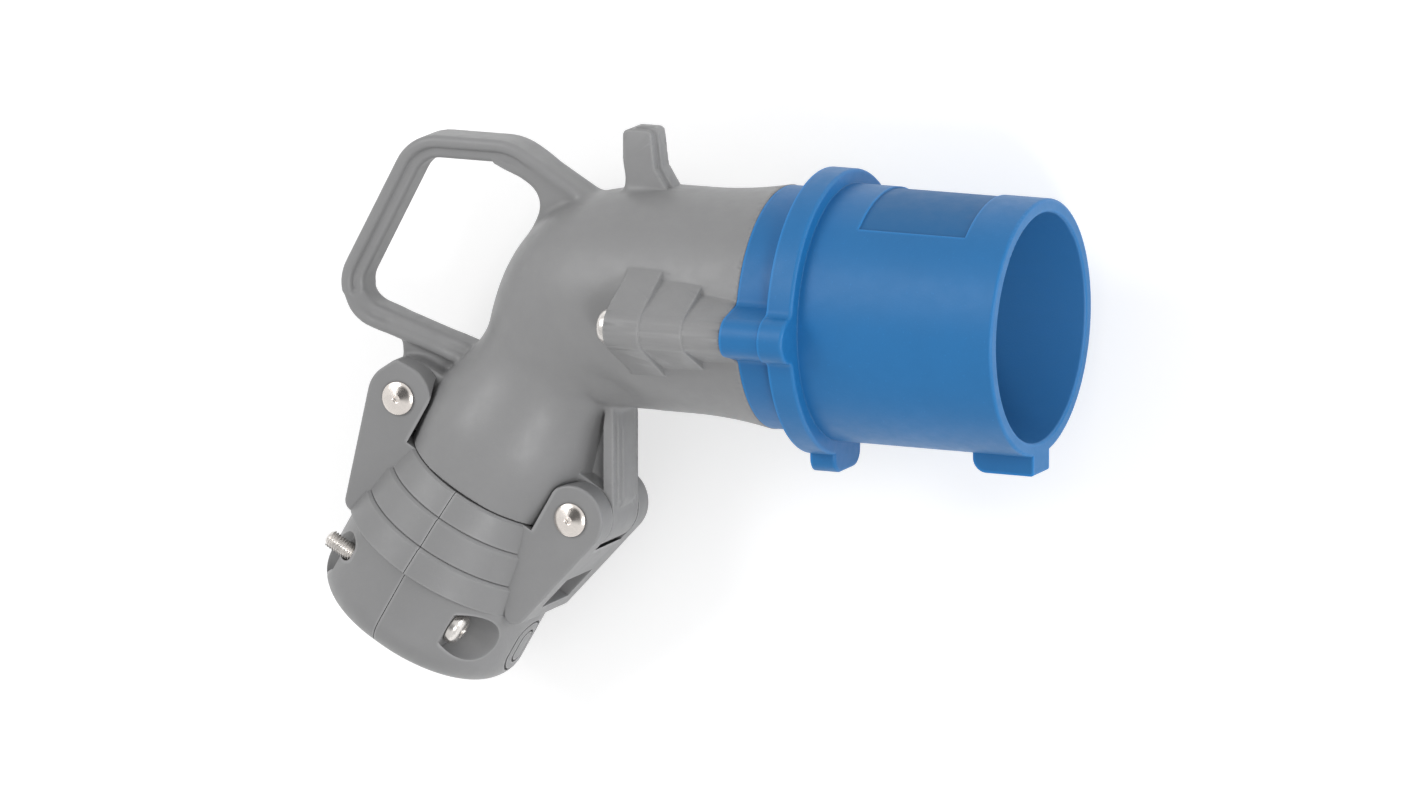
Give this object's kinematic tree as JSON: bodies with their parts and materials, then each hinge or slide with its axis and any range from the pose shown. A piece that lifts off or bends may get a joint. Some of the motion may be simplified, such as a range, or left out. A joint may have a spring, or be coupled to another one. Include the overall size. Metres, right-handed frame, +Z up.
{
  "type": "industrial pin and sleeve plug",
  "caption": "Angled industrial pin and sleeve plug: keyed blue sleeve with pins, grey elbow housing with pull handle, hinged cable clamp.",
  "frame": {"origin": "centre of the sleeve's mouth, on the plug's axis in the plane of its rim", "axes": "+X out of the sleeve along the plug's axis, +Z up as the plug lies on its side on a floor, +Y towards the handle side"},
  "size_m": [0.2124, 0.1577, 0.0907],
  "materials": {
    "housing_grey": "fine satin",
    "jaw_grey": "fine satin",
    "sleeve_blue": "satin",
    "insert_grey": "matte",
    "seal_rubber": "matte",
    "contact_brass": "turned",
    "plated_steel": "zinc plated"
  },
  "bodies": {
    "body": {"housing": "housing_grey", "sleeve": "sleeve_blue", "upper_hinge_pin": "plated_steel", "lower_hinge_pin": "plated_steel", "near_sleeve_screw": "plated_steel", "far_sleeve_screw": "plated_steel", "sleeve_gasket": "seal_rubber", "cable_seal": "seal_rubber", "pin_carrier": "insert_grey", "carrier_plate": "insert_grey", "carrier_screws": "plated_steel", "earth_pin": "contact_brass", "earth_terminal_screw": "plated_steel", "line_pin": "contact_brass", "line_terminal_screw": "plated_steel", "neutral_pin": "contact_brass", "neutral_terminal_screw": "plated_steel", "pilot_pin": "contact_brass", "pilot_terminal_screw": "plated_steel"},
    "upper_jaw": {"upper_jaw": "jaw_grey"},
    "lower_jaw": {"lower_jaw": "jaw_grey"},
    "near_clamp_screw": {"near_clamp_screw": "plated_steel"},
    "far_clamp_screw": {"far_clamp_screw": "plated_steel"},
    "near_clamp_nut": {"near_clamp_nut": "plated_steel"},
    "far_clamp_nut": {"far_clamp_nut": "plated_steel"}
  },
  "joints": [
    {"name": "lower_jaw_swing", "type": "hinge", "parent": "body", "child": "lower_jaw", "pos_m": [-0.13403, -0.06045, -0.01117], "axis": [0, -0.1818, 0.9833], "range_deg": [0, 4]},
    {"name": "upper_jaw_swing", "type": "hinge", "parent": "body", "child": "upper_jaw", "pos_m": [-0.18617, -0.03085, -0.0057], "axis": [0, 0.1818, -0.9833], "range_deg": [0, 4]},
    {"name": "near_screw_lift", "type": "slide", "parent": "body", "child": "near_clamp_screw", "axis": [0.866, -0.4917, -0.0909], "range_m": [0, 0.00341]},
    {"name": "far_screw_lift", "type": "slide", "parent": "body", "child": "far_clamp_screw", "axis": [0.866, -0.4917, -0.0909], "range_m": [0, 0.00341]},
    {"name": "near_nut_shift", "type": "slide", "parent": "body", "child": "near_clamp_nut", "axis": [-0.866, 0.4917, 0.0909], "range_m": [0, 0.00314]},
    {"name": "far_nut_shift", "type": "slide", "parent": "body", "child": "far_clamp_nut", "axis": [-0.866, 0.4917, 0.0909], "range_m": [0, 0.00314]}
  ],
  "couplings": [
    {"joint": "upper_jaw_swing", "follows": "lower_jaw_swing", "ratio": 1},
    {"joint": "near_screw_lift", "follows": "lower_jaw_swing", "m_per_rad": 0.0485},
    {"joint": "far_screw_lift", "follows": "lower_jaw_swing", "m_per_rad": 0.0485},
    {"joint": "near_nut_shift", "follows": "lower_jaw_swing", "m_per_rad": 0.0447},
    {"joint": "far_nut_shift", "follows": "lower_jaw_swing", "m_per_rad": 0.0447}
  ]
}
